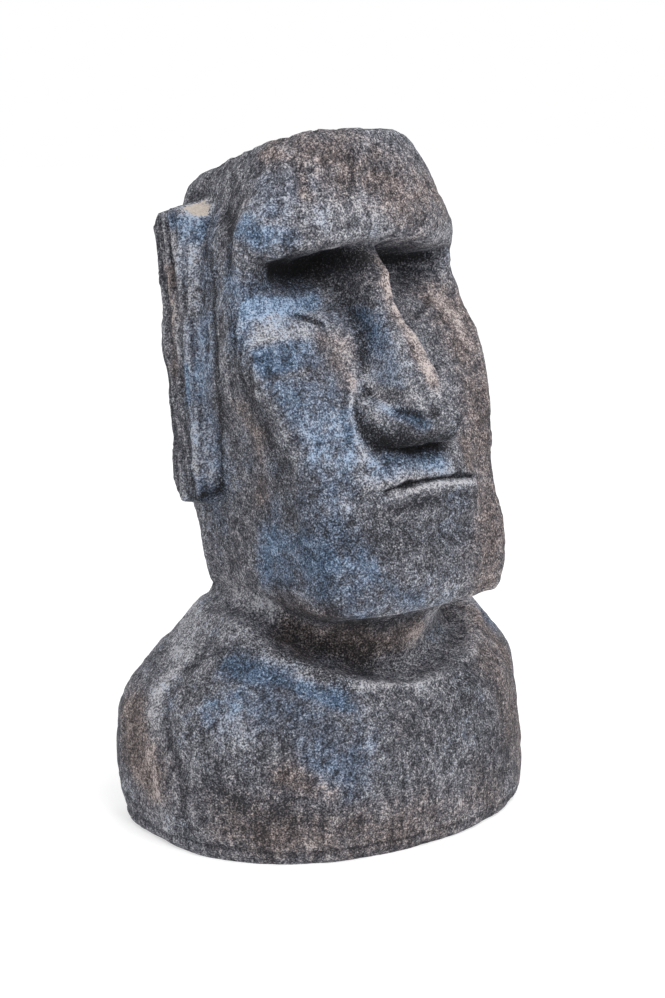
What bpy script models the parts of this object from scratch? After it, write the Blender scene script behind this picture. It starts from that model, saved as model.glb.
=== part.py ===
"""Cast stone garden moai: a long head leaning back on a low bust, one closed solid.

The statue faces -Y and stands on its flat underside at z = 0, with the origin under the
middle of its box.  Everything is a share of the height (1 share = HEIGHT / 100), so the
figure keeps its proportions when the height changes.  The skin is one grid: rows follow
guide rings up the figure, and columns follow lines down it, such as the edge of the face
and the edges of the ears.
"""

import bmesh
import bpy
import numpy as np

# Driving sizes
HEIGHT = 0.56            # metres, ground to the top of the head
SHARE = HEIGHT / 100.0   # one share of the height

# Guide rings, bottom to top, in shares.  Level counts rings up the face; height is at the
# ring's centre; front, back and centre are measured forward of the base's centre.
# (level, height, front, half width, back, centre, tilt in degrees, dip of the front)
GUIDES = (
    (0.0, 0.0, 25.0, 29.2, -15.2, 3.0, 0.0, 0.0),       # edge on the ground
    (1.2, 1.2, 25.8, 30.2, -15.8, 3.0, 0.0, 0.0),       # rim above it
    (9.0, 9.0, 26.2, 30.8, -16.2, 2.8, 0.0, 0.0),       # upper arms
    (15.0, 16.0, 25.4, 30.3, -16.1, 2.2, 0.0, 0.0),     # chest
    (19.0, 20.8, 24.5, 29.1, -15.2, 3.0, 0.0, 1.2),     # shoulders
    (21.5, 24.4, 23.8, 26.7, -13.8, 4.2, 0.0, 3.2),
    (23.5, 28.0, 22.9, 23.4, -12.0, 5.0, 0.0, 5.8),
    (25.5, 31.8, 22.2, 20.0, -10.0, 5.4, 0.0, 8.6),     # collar, low at the front
    (27.5, 33.2, 20.2, 17.6, -9.8, 5.0, 2.0, 9.3),      # neck
    (29.5, 34.8, 21.4, 16.4, -9.4, 5.0, 3.0, 3.6),      # under the jaw
    (31.0, 35.4, 26.8, 15.9, -7.4, 4.0, 3.3, 1.5),      # edge of the jaw
    (34.0, 38.0, 27.6, 16.5, -7.2, 4.0, 3.6, 1.4),      # chin
    (40.0, 42.6, 26.2, 16.7, -7.6, 4.0, 4.4, 0.4),
    (48.0, 48.6, 23.4, 16.6, -8.4, 3.4, 5.6, 0.0),      # mouth
    (54.0, 53.8, 21.8, 17.7, -9.2, 3.0, 6.6, 0.0),
    (60.0, 59.6, 19.4, 19.4, -10.0, 2.4, 7.6, 0.0),     # cheeks
    (68.0, 67.6, 15.0, 20.9, -11.2, 1.4, 9.4, 0.0),
    (74.0, 74.0, 10.6, 20.4, -12.2, 1.0, 10.8, 0.0),    # top of the cheeks
    (78.0, 77.6, 9.8, 19.3, -13.0, 1.0, 12.0, -0.8),
    (80.4, 80.0, 10.2, 19.2, -13.6, 1.0, 12.6, -1.4),   # under the brow
    (81.8, 80.8, 13.2, 19.4, -13.8, 1.0, 13.0, -1.6),   # edge of the brow
    (83.0, 81.8, 13.9, 19.4, -13.9, 1.0, 13.5, -1.5),
    (85.0, 83.4, 13.9, 19.2, -14.2, 1.0, 14.4, -1.2),
    (91.0, 88.2, 12.4, 16.6, -14.6, 0.4, 17.0, -0.4),   # forehead
    (98.5, 95.8, 9.6, 11.8, -14.8, 0.0, 20.0, 0.0),     # top edge
    (100.0, 96.9, 8.2, 10.8, -13.8, 0.0, 20.0, 0.0),
)
# Corners of the head's plan: (level, how far forward the face's edge is, half width at the back)
HEAD_CORNERS = (
    (29.5, 20.6, 15.0),
    (31.0, 24.6, 15.8),
    (34.0, 25.2, 16.8),
    (48.0, 22.4, 18.0),
    (54.0, 20.4, 18.4),
    (60.0, 18.0, 18.8),
    (68.0, 13.6, 19.2),
    (74.0, 9.2, 19.0),
    (80.4, 8.2, 18.2),
    (85.0, 8.4, 17.8),
    (91.0, 8.2, 16.6),
    (98.5, 6.8, 14.4),
    (100.0, 5.8, 13.2),
)
NECK_LEVELS = (28.5, 31.0)    # the oval bust turns into the square head between these
FLAT_OF_FACE = 0.56           # flat middle of the face, as a share of its half width
CORNER_POWER = 11.0           # how crisp the head's corners are
CHEST_POWER = 2.1             # roundness of the bust's front, 2 is an ellipse
SPINE_POWER = 4.5             # and of its squarer back
NECK_DEPTH, NECK_LEVEL, NECK_TALL = 2.8, 28.1, 1.8    # hollow of the neck above the collar

# Carving of the face, in shares, by level
BROW_UNDER, BROW_EDGE = 80.5, 82.0
BROW_SAG, BROW_SAG_X, BROW_SAG_HALF = 1.1, 10.0, 5.5    # the brow hangs lower over each eye
HOLLOW_DEPTH, HOLLOW_FOOT = 4.6, 74.4                   # eye hollows under the brow
HOLLOW_INNER, HOLLOW_OUTER = (1.4, 4.0), (8.5, 18.6)
SHELF_DEPTH, SHELF_LEVEL = 1.1, 73.2                    # ledge at the top of the cheeks
LID_LEVEL, LID_X, LID_RISE = 72.5, 9.6, 0.6             # closed lids
NOSE_FOOT, NOSE_END = 55.4, 60.6                        # underside of the nose, rounded up to its tip
NOSE_RISE, NOSE_RISE_GAIN = 4.2, 3.7                    # stands out at the root, and more at the tip
NOSE_TOP, NOSE_TOP_GAIN = 1.1, 2.3                      # half width of the ridge
NOSE_BASE, NOSE_BASE_GAIN = 2.7, 2.6                    # half width where it meets the cheeks
NOSE_ROOT = (77.2, 81.6)                                # the ridge dies into the brow here
WING_LEVEL, WING_X = 58.9, 4.2                          # middle of each rolled nostril wing
WING_TALL, WING_HALF, WING_RISE = 3.4, 3.7, 4.6
NOSE_MERGE = 3.5                                        # lower is a softer join of ridge and wings
MOUTH_X = 1.1                                           # mouth and muzzle sit to the left side
MUZZLE_LEVEL, MUZZLE_HALF, MUZZLE_RISE = 49.0, 9.6, 2.3
MUZZLE_CURVE = 0.07
MUZZLE_BELOW, MUZZLE_ABOVE = (40.0, 46.5), (52.5, 57.5)  # where it fades into the chin and cheeks
MOUTH_LEVEL, MOUTH_HALF, MOUTH_DROOP = 50.2, 8.1, 0.8
MOUTH_DEPTH, LIP_RISE = 0.9, 0.5
CHIN_LEVEL, CHIN_RISE, CHIN_HALF = 37.0, 0.6, (6.0, 12.0)

# Ears: upright slabs on the sides of the head
EAR_FOOT, EAR_TOP = 47.2, 94.6
EAR_TOP_PLACE, EAR_LEAN = -9.1, 5.6            # middle of the ear at its top, and lean forward
EAR_HALF, EAR_FACE = 3.8, 20.7                 # half depth, and how far out its face is
EAR_BEVEL, EAR_CORNER = 1.6, 2.6               # width of its sloping sides, and its corner radius

# Crown: the top closes in over these levels
CROWN_LEVEL, CROWN_RISE = 104.0, 0.5

# The casting isn't quite symmetrical: (level, how far the ring is moved to the statue's left)
SIDE_SHIFTS = (
    (0.0, 0.4),
    (2.0, 0.7),
    (9.0, 0.0),
    (16.0, 0.0),
    (22.0, 0.8),
    (26.0, 0.9),
    (31.0, 0.0),
    (100.0, 0.0),
)

# Rows up the figure: (level where the stretch ends, number of rows in it)
ROWS = ((1.2, 1), (9.0, 3), (19.0, 4), (25.5, 6), (29.5, 4), (31.0, 2), (34.0, 2), (40.0, 3),
        (46.4, 3), (48.0, 2), (49.6, 2), (50.9, 3), (54.6, 3), (56.6, 3), (61.2, 4), (63.2, 2),
        (74.4, 5), (80.0, 4), (82.0, 3), (85.0, 2), (92.4, 4), (95.4, 3), (98.5, 1), (100.0, 2),
        (CROWN_LEVEL, 3))
# Columns from the nose round to the spine, in the stretches between the lines down the figure
COLUMNS = (15, 4, 1, 4, 1, 6)
FRONT_CROWDING = 1.25         # columns crowd together towards the nose


def smooth_through(level, guides, column):
    """Monotone cubic through one column of a guide table: no overshoot between rings."""
    at = np.array([row[0] for row in guides])
    value = np.array([row[column] for row in guides])
    gap = np.diff(at)
    slope = np.diff(value) / gap
    tangent = np.zeros_like(value)
    tangent[0], tangent[-1] = slope[0], slope[-1]
    below, above = slope[:-1], slope[1:]
    same_way = below * above > 0
    weight_a, weight_b = 2 * gap[1:] + gap[:-1], gap[1:] + 2 * gap[:-1]
    below = np.where(same_way, below, 1.0)
    above = np.where(same_way, above, 1.0)
    mean = (weight_a + weight_b) / (weight_a / below + weight_b / above)
    tangent[1:-1] = np.where(same_way, mean, 0.0)
    level = np.clip(level, at[0], at[-1])
    i = np.clip(np.searchsorted(at, level, side="right") - 1, 0, len(gap) - 1)
    t = (level - at[i]) / gap[i]
    start = (1 + 2 * t) * (1 - t) ** 2 * value[i] + t * (1 - t) ** 2 * gap[i] * tangent[i]
    end = t * t * (3 - 2 * t) * value[i + 1] + t * t * (t - 1) * gap[i] * tangent[i + 1]
    return start + end


def ramp(value, low, high):
    """Smooth step from 0 at low to 1 at high."""
    t = np.clip((value - low) / (high - low), 0.0, 1.0)
    return t * t * (3 - 2 * t)


def hump(value, middle, half):
    """Rounded bump of height 1."""
    return np.exp(-((value - middle) / half) ** 2)


def ring_sizes(level):
    """Sizes of the ring at each level, from the two guide tables."""
    names = ("height", "front", "half", "back", "centre", "tilt", "dip")
    sizes = {name: smooth_through(level, GUIDES, k + 1) for k, name in enumerate(names)}
    sizes["edge"] = smooth_through(level, HEAD_CORNERS, 1)
    sizes["back_half"] = smooth_through(level, HEAD_CORNERS, 2)
    sizes["squareness"] = ramp(level, *NECK_LEVELS)
    return sizes


def wall(sine, cosine, start, end, centre):
    """Closeness of one straight wall of the plan, through two corners, seen from the centre."""
    across, along = start[1] - end[1], end[0] - start[0]
    length = np.hypot(across, along)
    distance = (across * start[0] + along * (start[1] - centre)) / length
    return np.maximum(0.0, (across * sine + along * cosine) / length) / distance


def reach(turn, ring):
    """Distance from the ring's centre to the skin, at an angle turned from the front.

    The head is a rounded polygon, front, cheek, side and back walls joined by a power sum.
    The bust is an oval, rounder in front than behind.
    """
    sine, cosine = np.abs(np.sin(turn)), np.cos(turn)
    centre, half = ring["centre"], ring["half"]
    flat = (FLAT_OF_FACE * half, ring["front"])
    face_edge = (half, ring["edge"])
    back_edge = (ring["back_half"], ring["back"])
    walls = (
        np.maximum(0.0, cosine) / (ring["front"] - centre),
        wall(sine, cosine, flat, face_edge, centre),
        wall(sine, cosine, face_edge, back_edge, centre),
        np.maximum(0.0, -cosine) / (centre - ring["back"]),
    )
    square = sum(side ** CORNER_POWER for side in walls) ** (-1 / CORNER_POWER)
    ahead = cosine > 0
    power = np.where(ahead, CHEST_POWER, SPINE_POWER)
    depth = np.where(ahead, ring["front"] - centre, centre - ring["back"])
    oval = ((sine / half) ** power + (np.abs(cosine) / depth) ** power) ** (-1 / power)
    return oval + (square - oval) * ring["squareness"]


def squared(value, middle, half):
    """Square of the distance from the middle, 1 at the edge."""
    return ((value - middle) / half) ** 2


def face_carving(x, level, turn):
    """How far the carving of the face stands out from the head's plain front."""
    across = np.abs(x)
    down = np.clip((BROW_UNDER - level) / (BROW_UNDER - WING_LEVEL), 0.0, 1.0)
    top = NOSE_TOP + NOSE_TOP_GAIN * down ** 2
    base = NOSE_BASE + NOSE_BASE_GAIN * down ** 1.4
    tuck = np.clip((NOSE_END - level) / (NOSE_END - NOSE_FOOT), 0.0, 1.0)
    tip = np.sqrt(1.0 - tuck ** 2.4)
    root = 1 - ramp(level, *NOSE_ROOT)
    rise = (NOSE_RISE + NOSE_RISE_GAIN * down ** 1.3) * tip * root
    ridge = rise * (1 - ramp(across, top, base))
    roll = 1.0 - squared(across, WING_X, WING_HALF) - squared(level, WING_LEVEL, WING_TALL)
    wings = WING_RISE * np.maximum(0.0, roll) ** 0.75
    nose = (ridge ** NOSE_MERGE + wings ** NOSE_MERGE) ** (1 / NOSE_MERGE)

    across = np.abs(x - MOUTH_X)
    spread = MUZZLE_HALF - MUZZLE_CURVE * (level - MUZZLE_LEVEL) ** 2
    muzzle = MUZZLE_RISE * (1 - ramp(across, spread - 3.2, spread + 2.6))
    muzzle = muzzle * ramp(level, *MUZZLE_BELOW) * (1 - ramp(level, *MUZZLE_ABOVE))
    line = MOUTH_LEVEL - MOUTH_DROOP * (across / MOUTH_HALF) ** 2
    on_mouth = 1 - ramp(across, MOUTH_HALF - 0.8, MOUTH_HALF + 1.0)
    lips = LIP_RISE * on_mouth * (0.5 * hump(level, line + 1.1, 0.8) + hump(level, line - 1.4, 1.1))
    slot = -MOUTH_DEPTH * on_mouth * hump(level, line, 0.4)
    chin = CHIN_RISE * hump(level, CHIN_LEVEL, 3.4) * (1 - ramp(across, *CHIN_HALF))

    across = np.abs(x)
    window = ramp(across, *HOLLOW_INNER) * (1 - ramp(across, *HOLLOW_OUTER))
    hollow = HOLLOW_DEPTH * ramp(level, HOLLOW_FOOT, BROW_UNDER - 0.6)
    hollow = -window * (hollow + SHELF_DEPTH * ramp(level, SHELF_LEVEL - 0.8, SHELF_LEVEL + 0.8))
    hollow = hollow * (1 - ramp(level, BROW_UNDER - 0.2, BROW_EDGE - 0.6))
    lids = LID_RISE * hump(level, LID_LEVEL, 0.9) * hump(across, LID_X, 3.4)
    facing = ramp(np.cos(turn), 0.05, 0.45)
    return facing * (nose + muzzle + lips + slot + chin + hollow + lids)


def ear_middle(level):
    """How far forward the middle of the ear is: it leans with the head."""
    return EAR_TOP_PLACE + EAR_LEAN * (EAR_TOP - level) / (EAR_TOP - EAR_FOOT)


def ear_carving(x, forward, level):
    """How far the ears stand out sideways: a slab with sloping sides and rounded corners."""
    middle, half_tall = 0.5 * (EAR_FOOT + EAR_TOP), 0.5 * (EAR_TOP - EAR_FOOT)
    past_side = np.abs(forward - ear_middle(level)) - (EAR_HALF - EAR_CORNER)
    past_end = np.abs(level - middle) - (half_tall - EAR_CORNER)
    outside = np.hypot(np.maximum(past_side, 0.0), np.maximum(past_end, 0.0))
    outside = outside + np.minimum(np.maximum(past_side, past_end), 0.0) - EAR_CORNER
    mask = 1 - ramp(outside, -EAR_BEVEL / 2, EAR_BEVEL / 2)
    return mask * np.maximum(0.0, EAR_FACE - np.abs(x))


def brow_sag(x, level, turn):
    """How much lower, in levels, the brow hangs over each eye than at the nose and temples."""
    near_brow = hump(level, 0.5 * (BROW_UNDER + BROW_EDGE), 3.0) * ramp(np.cos(turn), 0.2, 0.5)
    return BROW_SAG * near_brow * hump(np.abs(x), BROW_SAG_X, BROW_SAG_HALF)


def skin(turn, level):
    """Points of the skin in shares, for arrays of turn (0 is the nose) and level."""
    ring = ring_sizes(level)
    crown = np.clip((level - 100.0) / (CROWN_LEVEL - 100.0), 0.0, 1.0)
    sag = brow_sag(reach(turn, ring) * np.sin(turn), level, turn)
    neck = NECK_DEPTH * hump(level, NECK_LEVEL, NECK_TALL) * ramp(np.cos(turn), -0.3, 0.4)
    out = (reach(turn, ring_sizes(level + sag)) - neck) * (1 - crown)
    x, ahead = out * np.sin(turn), out * np.cos(turn)
    push = face_carving(x, level + sag, turn) * (1 - crown)
    side = ear_carving(x, ring["centre"] + ahead, level)
    tilt = np.radians(ring["tilt"])
    forward = ring["centre"] + ahead * np.cos(tilt) + push
    front = np.clip(np.cos(turn), 0.0, 1.0)
    height = ring["height"] + (ahead + 0.6 * push) * np.sin(tilt) - ring["dip"] * front
    height = height + CROWN_RISE * (1 - (1 - crown) ** 2)
    shift = smooth_through(level, SIDE_SHIFTS, 1)
    return np.stack([x + side * np.sign(x) + shift, -forward, height], axis=-1)


def lines_down(level):
    """Turns of the lines that columns follow: face edge, ear front and back, spine."""
    ring = ring_sizes(level)
    centre = ring["centre"]
    face = np.arctan2(ring["half"], ring["edge"] - centre)
    half_at_ear = 0.5 * (ring["half"] + ring["back_half"])
    outer, inner = EAR_HALF + EAR_BEVEL / 2, EAR_HALF - EAR_BEVEL / 2
    ahead = ear_middle(level) - centre
    ear = [np.arctan2(half_at_ear, ahead + step) for step in (outer, inner, -inner, -outer)]
    square = ramp(level, NECK_LEVELS[0] - 4.0, NECK_LEVELS[1] + 2.0)
    plain = np.radians([58.0, 86.0, 90.0, 108.0, 112.0])
    turns = [p + (line - p) * square for p, line in zip(plain, [face] + ear)]
    return [0.0 * level] + turns + [np.pi + 0.0 * level]


def grid_turns(levels):
    """Turn of every column at every level, from the nose round both ways to the spine."""
    lines = lines_down(levels)
    half = [lines[0][:, None]]
    for k, count in enumerate(COLUMNS):
        t = np.arange(1, count + 1) / count
        if k == 0:
            t = t ** FRONT_CROWDING
        half.append(lines[k][:, None] + (lines[k + 1] - lines[k])[:, None] * t[None, :])
    half = np.concatenate(half, axis=1)
    return np.concatenate([half, -half[:, -2:0:-1]], axis=1)


def grid_levels():
    """Level of every row, from the ground to just below the crown's middle."""
    levels = [0.0]
    for end, count in ROWS:
        start = levels[-1]
        levels += [start + (end - start) * (k + 1) / count for k in range(count)]
    return np.array(levels)


def statue_mesh():
    """The closed skin: the grid, a flat underside and a point at the crown."""
    levels = grid_levels()
    turns = grid_turns(levels[:-1])
    points = skin(turns, np.broadcast_to(levels[:-1, None], turns.shape))
    points[0, :, 2] = 0.0
    crown = skin(np.zeros(1), levels[-1:])[0]
    tall = max(points[:, :, 2].max(), crown[2])
    low, high = points.min(axis=(0, 1)), points.max(axis=(0, 1))
    place = np.array([-0.5 * (low[0] + high[0]), -0.5 * (low[1] + high[1]), 0.0])
    scale = SHARE * 100.0 / tall
    points, crown = (points + place) * scale, (crown + place) * scale

    rows, columns = turns.shape
    model = bmesh.new()
    verts = [[model.verts.new(points[r, c]) for c in range(columns)] for r in range(rows)]
    for r in range(rows - 1):
        for c in range(columns):
            n = (c + 1) % columns
            model.faces.new((verts[r][n], verts[r][c], verts[r + 1][c], verts[r + 1][n])[::-1])
    top = model.verts.new(crown)
    foot = model.verts.new((0.0, 0.0, 0.0))
    for c in range(columns):
        n = (c + 1) % columns
        model.faces.new((verts[-1][c], verts[-1][n], top))
        model.faces.new((verts[0][n], verts[0][c], foot))
    bmesh.ops.triangulate(model, faces=model.faces[:])
    bmesh.ops.recalc_face_normals(model, faces=model.faces[:])
    mesh = bpy.data.meshes.new("moai_statue")
    model.to_mesh(mesh)
    model.free()
    mesh.shade_smooth()
    mesh.set_sharp_from_angle(angle=np.radians(40.0))
    return mesh


def stone_material():
    """Cast stone, washed slate grey."""
    material = bpy.data.materials.new("cast_stone")
    material.use_nodes = True
    shader = material.node_tree.nodes["Principled BSDF"]
    shader.inputs["Base Color"].default_value = (0.105, 0.115, 0.130, 1.0)
    shader.inputs["Roughness"].default_value = 0.92
    shader.inputs["Metallic"].default_value = 0.0
    return material


def main():
    for old in list(bpy.data.objects):
        bpy.data.objects.remove(old, do_unlink=True)
    statue = bpy.data.objects.new("moai_statue", statue_mesh())
    statue.data.materials.append(stone_material())
    bpy.context.scene.collection.objects.link(statue)


main()
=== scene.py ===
"""Cast stone garden moai: the statue's fine skin, its washed finish, the floor and the light.

Run as a script.  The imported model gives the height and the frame; the statue's skin is worked
out again on a finer grid from the same guide rings, given the relief of a rough casting, and
takes the place of the plain solid.  Lengths named as shares are hundredths of the height.
"""

import bpy
import numpy as np
from mathutils import Matrix, Vector


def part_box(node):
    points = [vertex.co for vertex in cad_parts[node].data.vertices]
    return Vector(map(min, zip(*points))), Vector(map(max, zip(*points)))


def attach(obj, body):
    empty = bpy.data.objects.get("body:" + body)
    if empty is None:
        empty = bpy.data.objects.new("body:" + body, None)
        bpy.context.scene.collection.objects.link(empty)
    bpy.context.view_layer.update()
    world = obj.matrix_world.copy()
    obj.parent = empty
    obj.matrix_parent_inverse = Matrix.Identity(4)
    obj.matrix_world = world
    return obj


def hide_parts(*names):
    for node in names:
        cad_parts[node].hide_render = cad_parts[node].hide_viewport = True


bl_info = {
    "name": "Garden Moai",
    "version": (1, 0, 0),
    "blender": (4, 5, 0),
    "location": "3D View > Sidebar > Moai",
    "description": "Builds a cast stone garden moai with its stage",
    "category": "Object",
}

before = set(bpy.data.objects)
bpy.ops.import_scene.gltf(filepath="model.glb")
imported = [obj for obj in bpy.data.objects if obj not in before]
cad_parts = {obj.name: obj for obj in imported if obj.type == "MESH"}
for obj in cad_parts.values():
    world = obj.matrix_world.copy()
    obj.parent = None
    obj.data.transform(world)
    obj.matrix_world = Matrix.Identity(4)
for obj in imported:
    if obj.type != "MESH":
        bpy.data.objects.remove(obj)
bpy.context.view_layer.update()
NODE = "moai_statue"
STATUE_LOW, STATUE_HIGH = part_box(NODE)
STATUE_HEIGHT = STATUE_HIGH[2] - STATUE_LOW[2]

# Camera, fitted to the photograph: picture height and focal length in pixels, and the camera's
# place in shares
PHOTO_HEIGHT, FOCAL_PIXELS = 998, 2060.0
SENSOR_MM = 36.0
CAMERA_TARGET = (0.0, -3.0, 46.3)    # shares, from the middle of the base's own guide rings
CAMERA_DISTANCE = 300.0              # shares

# Guide rings, bottom to top, in shares.  Level counts rings up the face; height is at the
# ring's centre; front, back and centre are measured forward of the base's centre.
# (level, height, front, half width, back, centre, tilt in degrees, dip of the front)
GUIDES = (
    (0.0, 0.0, 25.0, 29.2, -15.2, 3.0, 0.0, 0.0),       # edge on the ground
    (1.2, 1.2, 25.8, 30.2, -15.8, 3.0, 0.0, 0.0),       # rim above it
    (9.0, 9.0, 26.2, 30.8, -16.2, 2.8, 0.0, 0.0),       # upper arms
    (15.0, 16.0, 25.4, 30.3, -16.1, 2.2, 0.0, 0.0),     # chest
    (19.0, 20.8, 24.5, 29.1, -15.2, 3.0, 0.0, 1.2),     # shoulders
    (21.5, 24.4, 23.8, 26.7, -13.8, 4.2, 0.0, 3.2),
    (23.5, 28.0, 22.9, 23.4, -12.0, 5.0, 0.0, 5.8),
    (25.5, 31.8, 22.2, 20.0, -10.0, 5.4, 0.0, 8.6),     # collar, low at the front
    (27.5, 33.2, 20.2, 17.6, -9.8, 5.0, 2.0, 9.3),      # neck
    (29.5, 34.8, 21.4, 16.4, -9.4, 5.0, 3.0, 3.6),      # under the jaw
    (31.0, 35.4, 26.8, 15.9, -7.4, 4.0, 3.3, 1.5),      # edge of the jaw
    (34.0, 38.0, 27.6, 16.5, -7.2, 4.0, 3.6, 1.4),      # chin
    (40.0, 42.6, 26.2, 16.7, -7.6, 4.0, 4.4, 0.4),
    (48.0, 48.6, 23.4, 16.6, -8.4, 3.4, 5.6, 0.0),      # mouth
    (54.0, 53.8, 21.8, 17.7, -9.2, 3.0, 6.6, 0.0),
    (60.0, 59.6, 19.4, 19.4, -10.0, 2.4, 7.6, 0.0),     # cheeks
    (68.0, 67.6, 15.0, 20.9, -11.2, 1.4, 9.4, 0.0),
    (74.0, 74.0, 10.6, 20.4, -12.2, 1.0, 10.8, 0.0),    # top of the cheeks
    (78.0, 77.6, 9.8, 19.3, -13.0, 1.0, 12.0, -0.8),
    (80.4, 80.0, 10.2, 19.2, -13.6, 1.0, 12.6, -1.4),   # under the brow
    (81.8, 80.8, 13.2, 19.4, -13.8, 1.0, 13.0, -1.6),   # edge of the brow
    (83.0, 81.8, 13.9, 19.4, -13.9, 1.0, 13.5, -1.5),
    (85.0, 83.4, 13.9, 19.2, -14.2, 1.0, 14.4, -1.2),
    (91.0, 88.2, 12.4, 16.6, -14.6, 0.4, 17.0, -0.4),   # forehead
    (98.5, 95.8, 9.6, 11.8, -14.8, 0.0, 20.0, 0.0),     # top edge
    (100.0, 96.9, 8.2, 10.8, -13.8, 0.0, 20.0, 0.0),
)
# Corners of the head's plan: (level, how far forward the face's edge is, half width at the back)
HEAD_CORNERS = (
    (29.5, 20.6, 15.0),
    (31.0, 24.6, 15.8),
    (34.0, 25.2, 16.8),
    (48.0, 22.4, 18.0),
    (54.0, 20.4, 18.4),
    (60.0, 18.0, 18.8),
    (68.0, 13.6, 19.2),
    (74.0, 9.2, 19.0),
    (80.4, 8.2, 18.2),
    (85.0, 8.4, 17.8),
    (91.0, 8.2, 16.6),
    (98.5, 6.8, 14.4),
    (100.0, 5.8, 13.2),
)
NECK_LEVELS = (28.5, 31.0)    # the oval bust turns into the square head between these
FLAT_OF_FACE = 0.56           # flat middle of the face, as a share of its half width
CORNER_POWER = 11.0           # how crisp the head's corners are
CHEST_POWER = 2.1             # roundness of the bust's front, 2 is an ellipse
SPINE_POWER = 4.5             # and of its squarer back
NECK_DEPTH, NECK_LEVEL, NECK_TALL = 2.8, 28.1, 1.8    # hollow of the neck above the collar

# Carving of the face, in shares, by level
BROW_UNDER, BROW_EDGE = 80.5, 82.0
BROW_SAG, BROW_SAG_X, BROW_SAG_HALF = 1.1, 10.0, 5.5    # the brow hangs lower over each eye
HOLLOW_DEPTH, HOLLOW_FOOT = 4.6, 74.4                   # eye hollows under the brow
HOLLOW_INNER, HOLLOW_OUTER = (1.4, 4.0), (8.5, 18.6)
SHELF_DEPTH, SHELF_LEVEL = 1.1, 73.2                    # ledge at the top of the cheeks
LID_LEVEL, LID_X, LID_RISE = 72.5, 9.6, 0.6             # closed lids
LID_TALL, LID_HALF = 0.9, 3.4
NOSE_FOOT, NOSE_END = 55.4, 60.6                        # underside of the nose, rounded up to its tip
NOSE_RISE, NOSE_RISE_GAIN = 4.2, 3.7                    # stands out at the root, and more at the tip
NOSE_TOP, NOSE_TOP_GAIN = 1.1, 2.3                      # half width of the ridge
NOSE_BASE, NOSE_BASE_GAIN = 2.7, 2.6                    # half width where it meets the cheeks
NOSE_ROOT = (77.2, 81.6)                                # the ridge dies into the brow here
WING_LEVEL, WING_X = 58.9, 4.2                          # middle of each rolled nostril wing
WING_TALL, WING_HALF, WING_RISE = 3.4, 3.7, 4.6
NOSE_MERGE = 3.5                                        # lower is a softer join of ridge and wings
MOUTH_X = 1.1                                           # mouth and muzzle sit to the left side
MUZZLE_LEVEL, MUZZLE_HALF, MUZZLE_RISE = 49.0, 9.6, 2.3
MUZZLE_CURVE, MUZZLE_EDGE = 0.07, (3.2, 2.6)            # its sides slope from inside to outside
MUZZLE_BELOW, MUZZLE_ABOVE = (40.0, 46.5), (52.5, 57.5)  # where it fades into the chin and cheeks
MOUTH_LEVEL, MOUTH_HALF, MOUTH_DROOP = 50.2, 8.1, 0.8
MOUTH_DEPTH, MOUTH_TALL, LIP_RISE = 0.9, 0.4, 0.5
UPPER_LIP, LOWER_LIP = (1.1, 0.8), (1.4, 1.1)            # distance from the mouth's line, half height
CHIN_LEVEL, CHIN_TALL, CHIN_RISE, CHIN_HALF = 37.0, 3.4, 0.6, (6.0, 12.0)

# Ears: upright slabs on the sides of the head
EAR_FOOT, EAR_TOP = 47.2, 94.6
EAR_TOP_PLACE, EAR_LEAN = -9.1, 5.6            # middle of the ear at its top, and lean forward
EAR_HALF, EAR_FACE = 3.8, 20.7                 # half depth, and how far out its face is
EAR_BEVEL, EAR_CORNER = 1.6, 2.6               # width of its sloping sides, and its corner radius

# Crown: the top closes in between these levels
TOP_LEVEL, CROWN_LEVEL, CROWN_RISE = 100.0, 104.0, 0.5

# The casting isn't quite symmetrical: (level, how far the ring is moved to the statue's left)
SIDE_SHIFTS = (
    (0.0, 0.4),
    (2.0, 0.7),
    (9.0, 0.0),
    (16.0, 0.0),
    (22.0, 0.8),
    (26.0, 0.9),
    (31.0, 0.0),
    (100.0, 0.0),
)

# Fine grid of the skin: (level where the stretch ends, rows in it), and columns from nose to spine
ROWS = ((1.2, 4), (9.0, 20), (19.0, 30), (25.5, 26), (29.5, 20), (31.0, 10), (34.0, 10),
        (40.0, 16), (46.4, 17), (50.9, 20), (54.6, 10), (56.6, 12), (61.2, 16), (63.2, 6),
        (74.4, 32), (80.0, 20), (82.0, 14), (85.0, 8), (92.4, 18), (95.4, 8), (98.5, 8),
        (TOP_LEVEL, 8), (CROWN_LEVEL, 14))
COLUMNS = (56, 26, 6, 14, 6, 32)
BUST_TURNS = (58.0, 86.0, 90.0, 108.0, 112.0)    # where the columns' lines run on the bust, in degrees
FRONT_CROWDING = 1.1

# Carved marks of the casting: (path, half width in shares or degrees, millimetres, out above 0).
# Paths are (forward of the ear's middle, level) on the ears, (turn in degrees, level) on the temples
# and arms, and (x, level) on the face.
EAR_LINES = (
    (((0.9, 92.0), (0.6, 84.0), (1.2, 72.0), (0.9, 60.0), (1.3, 51.0)), 0.50, -2.0),
    (((-1.5, 90.5), (-1.9, 82.0), (-1.2, 72.0)), 0.42, -1.7),
    (((-0.6, 74.0), (-0.9, 64.0), (-0.4, 55.0)), 0.38, -1.1),
    (((-2.7, 88.0), (-2.9, 74.0), (-2.4, 60.0)), 0.34, -1.3),
    (((2.2, 90.0), (2.5, 70.0), (2.3, 52.0)), 0.55, 1.0),
    (((-2.1, 86.0), (-2.3, 70.0), (-1.9, 54.0)), 0.40, 0.7),
)
SIDE_LINES = (
    (((90.5, 91.0), (79.5, 86.5), (79.5, 81.0)), 2.6, -1.6),                # temple
    (((94.0, 20.5), (86.0, 15.6), (81.0, 11.0), (81.5, 3.5)), 2.2, -1.2),   # groove of the arm
    (((99.0, 20.0), (92.0, 12.0), (89.0, 3.0)), 3.2, 1.2),                  # ridge behind it
)
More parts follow.
